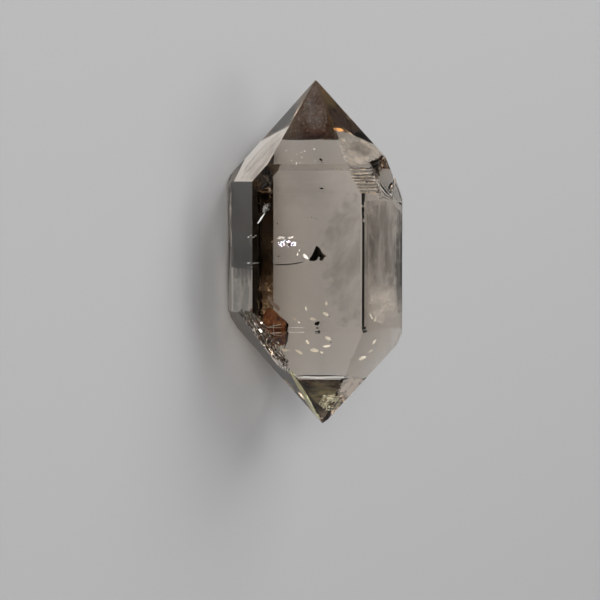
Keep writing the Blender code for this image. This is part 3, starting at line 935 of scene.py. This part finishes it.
def make_healed_crack():
    """A faint veil with a dark rim, and the bright and tinted films on it and beside it."""
    draw = random.Random(5)
    tilt = (PHOTO_UP * math.cos(CRACK_TILT) + TO_VIEWER * math.sin(CRACK_TILT)).normalized()
    veil = bmesh.new()
    add_film(veil, CRACK_VEIL, CRACK_DEPTH, tilt)
    piece("crack_veil", veil, make_material("crack_veil", (0.85, 0.9, 0.88), 0.4, alpha=0.08))
    rim = make_material("crack_rim", (0.05, 0.035, 0.025), 0.5, alpha=0.8)
    film_piece("crack_rim", [stroke(CRACK_RIM, CRACK_RIM_WIDTH)], CRACK_RIM_DEPTH, rim)
    for name, outlines, depth, material in (("crack_films", CRACK_WHITE, CRACK_DEPTH, AIR_FILM),
                                            ("crack_rainbows", CRACK_TINTED, RAINBOW_DEPTH, rainbow_film()),
                                            ("crack_pinks", CRACK_PINK, CRACK_DEPTH, PINK_FILM),
                                            ("edge_glints", EDGE_GLINTS, GLINT_DEPTH, DIM_FILM)):
        films = bmesh.new()
        for outline in outlines:
            lean = Vector([draw.uniform(-CRACK_LEAN, CRACK_LEAN) for _ in range(3)])
            add_film(films, outline, depth, (facing_light(*middle_of(outline), depth) + lean).normalized())
        piece(name, films, material)
    scatter("crack_sparks", CRACK_SPARKS, rainbow_film())


def make_stain():
    """The rusty stain, its dark side, the pale band above it and the pale streaks and flakes on it."""
    stain = bmesh.new()
    add_lump(stain, STAIN, STAIN_DEPTH, STAIN_THICKNESS, random.Random(3))
    piece("rusty_stain", stain, cloudy_finish("rust", RUST, 0.55, scale=1.6, detail=4.0, patchy=0.6))
    film_piece("stain_shade", [STAIN_SHADE], STAIN_SHADE_DEPTH, BLACK_MINERAL_AND_SHADE)
    band = make_material("pink_brown_skin", (0.42, 0.30, 0.24), 0.6)
    film_piece("stain_band", [STAIN_BAND], STAIN_DEPTH, band)
    flakes = bmesh.new()
    for points, width in STAIN_STREAKS:
        outline = stroke(points, width)
        add_film(flakes, outline, STAIN_FLAKE_DEPTH, facing_light(*middle_of(outline), STAIN_DEPTH))
    for outline in STAIN_FLAKES:
        add_film(flakes, outline, STAIN_FLAKE_DEPTH)
    piece("stain_flakes", flakes, make_material("pale_flake", (0.95, 0.88, 0.74), 0.3, metallic=0.6))


def make_specks():
    """The dark specks, the cream flecks and the white dots."""
    draw = random.Random(8)
    dark = bmesh.new()
    for u, v, length, width, turn in DARK_SPECKS:
        add_film(dark, blob(u, v, length, width, turn, draw), SPECK_DEPTH)
    add_lump(dark, DARK_BLOB, SPECK_DEPTH, SPECK_THICKNESS, draw)
    for outline in EDGE_BLOTS:
        add_film(dark, outline, BLOT_DEPTH)
    piece("dark_specks", dark, BLACK_MINERAL_AND_SHADE)
    cream = bmesh.new()
    for u, v, length, width, turn in CREAM_FLECKS:
        depth = draw.uniform(*CREAM_DEPTHS)
        lean = Vector([draw.uniform(-CREAM_LEAN, CREAM_LEAN) for _ in range(3)])
        facing = (facing_light(u, v, depth) + lean).normalized()
        add_film(cream, blob(u, v, length, width, turn, draw), depth, facing)
    cream_fleck = make_material("cream_fleck", (0.93, 0.87, 0.74), 0.42, metallic=1.0, alpha=0.8)
    piece("cream_flecks", cream, cream_fleck)
    white = bmesh.new()
    for u, v, length, width, turn in WHITE_DOTS:
        dot = blob(u, v, length * DOT_SIZE, width * DOT_SIZE, turn, draw)
        add_film(white, dot, DOT_DEPTH, facing_light(u, v, DOT_DEPTH))
    piece("white_dots", white, make_material("white_dot", (1.0, 0.98, 0.95), 0.45, metallic=0.8, alpha=0.8))


def make_feather():
    """A splinter of trapped air with fine needles at its end."""
    barbs = [stroke(points, width) for points, width in FEATHER]
    film_piece("feather", barbs, FEATHER_DEPTH, DIM_FILM, lit=True)
    scatter("feather_needles", FEATHER_TIP, DIM_FILM)


def make_painted_shade_sheets():
    """Dark sheets of painted shade just inside the resting face; their mirror images darken a strip of the
    front face.

    The black line along the front face's upper edge is painted shade too.
    """
    draw = random.Random(17)
    brown = cloudy_finish("painted_shade_brown", SHADE_BROWNS, 0.5, scale=1.4, detail=4.0, patchy=0.6, stretch=(1.0, 2.0, 1.0))
    for name, (start, end), material in (("painted_shade_black", SHADE_SHEET_BLACK, BLACK_MINERAL_AND_SHADE),
                                         ("painted_shade_brown", SHADE_SHEET_BROWN, brown)):
        skin = bmesh.new()
        steps = [start + (end - start) * i / SHADE_SHEET_STEPS for i in range(SHADE_SHEET_STEPS + 1)]
        front, back = ([Vector((x, y + draw.uniform(-SHADE_SHEET_WANDER, SHADE_SHEET_WANDER), SHADE_SHEET_HEIGHT)) for x in steps]
                       for y in SHADE_SHEET_WIDTH)
        near = front + back[::-1]
        add_rings(skin, [near, [corner - Vector((0.0, 0.0, SHADE_SHEET_THICKNESS)) for corner in near]])
        piece(name, skin, material)
    # Painted shade: a black line along the front face's upper edge
    film_piece("edge_shade_line", EDGE_SHADE_LINE, EDGE_SHADE_LINE_DEPTH, BLACK_MINERAL_AND_SHADE)


def make_broken_corner():
    """Dark cracks and painted shade, painted highlights on the edges, dark specks and sparks under the broken
    corner.
    """
    cracks = [stroke(points, width) for points, width in CORNER_CRACKS_AND_SHADE]
    film_piece("corner_cracks_and_shade", cracks, CORNER_CRACK_AND_SHADE_DEPTH, BLACK_MINERAL_AND_SHADE)
    pale_piece("corner_lights", CORNER_LIGHTS, CORNER_LIGHT_DEPTH, PALE_FILM)
    scatter("corner_dark_specks", CORNER_SPECKLE_PATCH, BLACK_MINERAL_AND_SHADE)
    scatter("corner_sparks", CORNER_SPECKLE_PATCH, PALE_FILM)
    shade = make_material("corner_shade", (0.08, 0.065, 0.05), 0.6, alpha=0.6)
    film_piece("corner_shade", [CORNER_SHADE], CORNER_CRACK_AND_SHADE_DEPTH, shade)


def make_point_marks():
    """Thin dark lines, a wedge of painted shade, pale speckles and a warm glint in the two points."""
    lines = bmesh.new()
    for points, width in POINT_LINES:
        add_film(lines, stroke(points, width), POINT_LINE_DEPTH)
    add_film(lines, POINT_WEDGE, POINT_WEDGE_DEPTH)
    piece("point_lines", lines, BLACK_MINERAL_AND_SHADE)
    pale_piece("pale_lines", PALE_LINES, PALE_LINE_DEPTH, PALE_FILM)
    scatter("point_speckles", POINT_SPECKLES, SPECKLE)
    warm = make_material("warm_film", (0.85, 0.42, 0.14), 0.45, metallic=1.0)
    film_piece("warm_glints", WARM_GLINTS, GLOW_DEPTH, warm, lit=True)


def make_gold():
    """A nest of golden needles and dust in the right point."""
    gold = blob(*GOLD_MIDDLE, *GOLD_SPREAD, 0.0, random.Random(21))
    needle = make_material("gold_flake", (1.0, 0.95, 0.7), 0.35, metallic=1.0)
    scatter("golden_flakes", gold, needle)
    dust = make_material("gold_dust", (0.9, 0.7, 0.36), 0.6)
    scatter("golden_dust", gold, dust)


def make_yellow_edge():
    """A painted highlight along an edge of the right point, in small cells that each catch the light."""
    skin = bmesh.new()
    for (u0, v0, w0), (u1, v1, w1) in zip(YELLOW_EDGE, YELLOW_EDGE[1:]):
        for i in range(YELLOW_PARTS):
            near, far = i / YELLOW_PARTS, (i + 1) / YELLOW_PARTS
            for j in range(YELLOW_LANES):
                left, right = (2.0 * (j + side) / YELLOW_LANES - 1.0 for side in (0, 1))
                corners = ((near, left), (near, right), (far, right), (far, left))
                outline = [(u0 + (u1 - u0) * share + (w0 + (w1 - w0) * share) * side, v0 + (v1 - v0) * share)
                           for share, side in corners]
                add_film(skin, outline, YELLOW_DEPTH, facing_light(*middle_of(outline), YELLOW_DEPTH))
    piece("yellow_edge", skin, make_material("yellow_film", (1.0, 1.0, 0.62), 0.4, metallic=1.0))


def make_camera():
    """The camera where the photograph was taken from."""
    data = bpy.data.cameras.new("camera")
    camera = add_object("camera", data)
    turn = Matrix((PHOTO_RIGHT, CAMERA_UP, -FORWARD)).transposed().to_4x4()
    turn.translation = EYE * MM
    camera.matrix_world = turn
    data.sensor_width = SENSOR_WIDTH
    data.lens = data.sensor_width * (EYE - AIM).length / (PHOTO_SIZE * MM_PER_PIXEL)
    data.clip_start = NEAR_CLIP
    bpy.context.scene.camera = camera


def make_floor():
    """A plain pale floor, a hair under the crystal."""
    bpy.ops.mesh.primitive_plane_add(size=FLOOR_SIZE, location=(0.0, 0.0, -FLOOR_DROP))
    floor = bpy.context.object
    floor.name = "floor"
    floor.data.materials.append(make_material("pale_floor", FLOOR_COLOUR, 0.9))


def soft_light(name, azimuth, elevation, distance, size, power):
    """A large light that looks at the crystal."""
    data = bpy.data.lights.new(name, "AREA")
    data.shape = "RECTANGLE"
    data.size, data.size_y = size
    data.energy = power
    light = add_object(name, data)
    light.location = direction(azimuth, elevation) * distance
    light.rotation_euler = (LIGHT_TARGET - light.location).to_track_quat("-Z", "Y").to_euler()
    return light


def make_studio():
    """A dim room with one dark spot, pale where the camera sees it straight."""
    world = bpy.data.worlds.new("studio")
    bpy.context.scene.world = world
    world.use_nodes = True
    tree = world.node_tree
    way = add_node(tree, "ShaderNodeTexCoord").outputs["Generated"]
    height = add_node(tree, "ShaderNodeSeparateXYZ", {"Vector": way}).outputs["Z"]
    fade = add_range(tree, height, *STUDIO_HEIGHTS, STUDIO_LOW, STUDIO_HIGH)
    spot = add_dot(tree, way, direction(*DARK_SPOT))
    edges = [math.cos(math.radians(angle)) for angle in DARK_SPOT_EDGE]
    dark = add_range(tree, spot, *edges, 1.0, DARK_SPOT_SHARE)
    seen = add_node(tree, "ShaderNodeLightPath").outputs["Is Camera Ray"]
    room = add_maths(tree, "MULTIPLY", fade, dark)
    pale = add_node(tree, "ShaderNodeMix", {"Factor": seen, "A": room, "B": BACKDROP})
    background = tree.nodes["Background"]
    background.inputs["Color"].default_value = (1.0, 1.0, 1.0, 1.0)
    tree.links.new(pale.outputs["Result"], background.inputs["Strength"])


def make_lights():
    """Soft lights and cards round the crystal; the low card stands upright behind it, past its right end."""
    for name, (azimuth, elevation, distance, size, power) in LIGHTS.items():
        light = soft_light(name, azimuth, elevation, distance, size, power)
        if name == "low_card":
            light.location.x = LOW_CARD_X
            light.rotation_euler = (math.radians(90.0), 0.0, math.radians(180.0))


# Black for dark grains, specks and cracks, and for painted shade in dark sheets, lines and wedges
BLACK_MINERAL_AND_SHADE = make_material("black_mineral_and_shade", (0.008, 0.006, 0.004), 0.6)
BLACK_MINERAL_AND_SHADE.node_tree.nodes["Principled BSDF"].inputs["Specular IOR Level"].default_value = 0.15
BROWN_MINERAL = make_material("brown_mineral", (0.06, 0.042, 0.022), 0.5)
FLAKE_TREE = flake_tree()
DIM_FILM = make_material("dim_film", (0.8, 0.8, 0.8), 0.35, metallic=1.0, alpha=0.55)
PINK_FILM = make_material("pink_film", (0.85, 0.6, 0.52), 0.3, metallic=1.0, alpha=0.8)
PALE_FILM = make_material("pale_film", (0.97, 0.95, 0.9), 0.4, metallic=0.6)
SPECKLE = make_material("speckle", (0.95, 0.9, 0.84), 0.5, metallic=0.6, alpha=0.7)
AIR_FILM = make_material("air_film", (1.0, 1.0, 1.0), 0.15, metallic=1.0)

crystal.data.materials.clear()
crystal.data.materials.append(smoky_quartz())

make_grain()
make_healed_crack()
make_stain()
make_specks()
make_feather()
make_painted_shade_sheets()
make_broken_corner()
make_point_marks()
make_gold()
make_yellow_edge()
make_steps_shade()
make_veils()
make_floor()
make_studio()
make_lights()
make_camera()
scene = bpy.context.scene
scene.cycles.max_bounces = BOUNCES
scene.cycles.transmission_bounces = BOUNCES
scene.cycles.glossy_bounces = BOUNCES
scene.view_settings.view_transform = "Standard"
